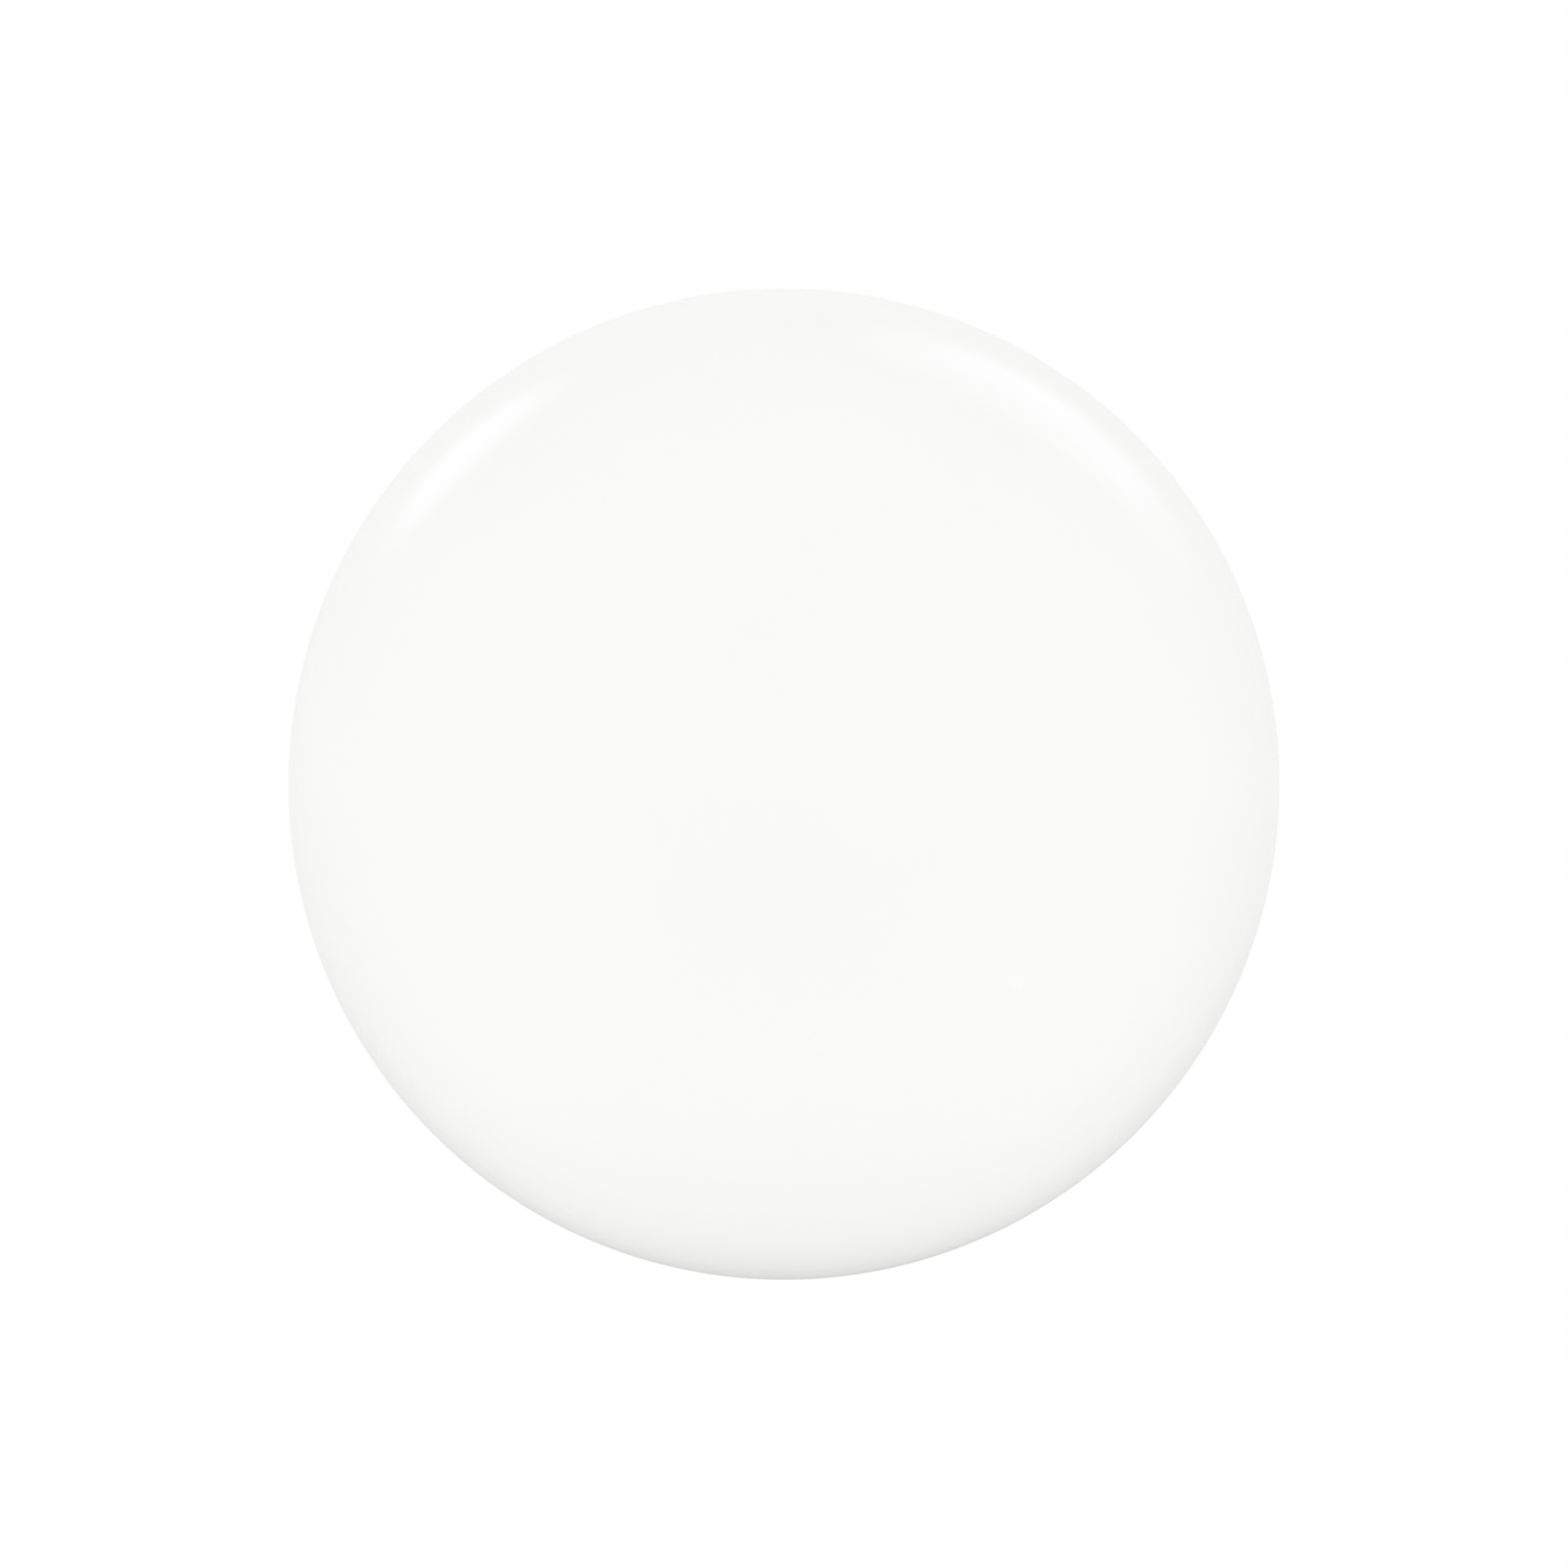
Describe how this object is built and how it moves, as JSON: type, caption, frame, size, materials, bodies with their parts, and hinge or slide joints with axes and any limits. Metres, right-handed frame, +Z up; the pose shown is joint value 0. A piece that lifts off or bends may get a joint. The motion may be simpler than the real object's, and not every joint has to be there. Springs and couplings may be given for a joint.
{
  "type": "cue ball",
  "caption": "Plain white cue ball: a polished resin shell cast round an iron-filled resin core, for a pool table that sorts it with a magnet.",
  "frame": {"origin": "the ball's centre", "axes": "+Z is up, through the flat on the buried core; the ball rests on its lowest point, at -Z. From outside, every direction is alike"},
  "size_m": [0.0572, 0.0572, 0.0572],
  "materials": {
    "white_resin": "polished cast phenolic resin, warm white",
    "iron_filled_resin": "as cast, dark grey, grainy with iron powder"
  },
  "bodies": {
    "root": {"resin_shell": "white_resin", "iron_core": "iron_filled_resin"}
  },
  "joints": []
}
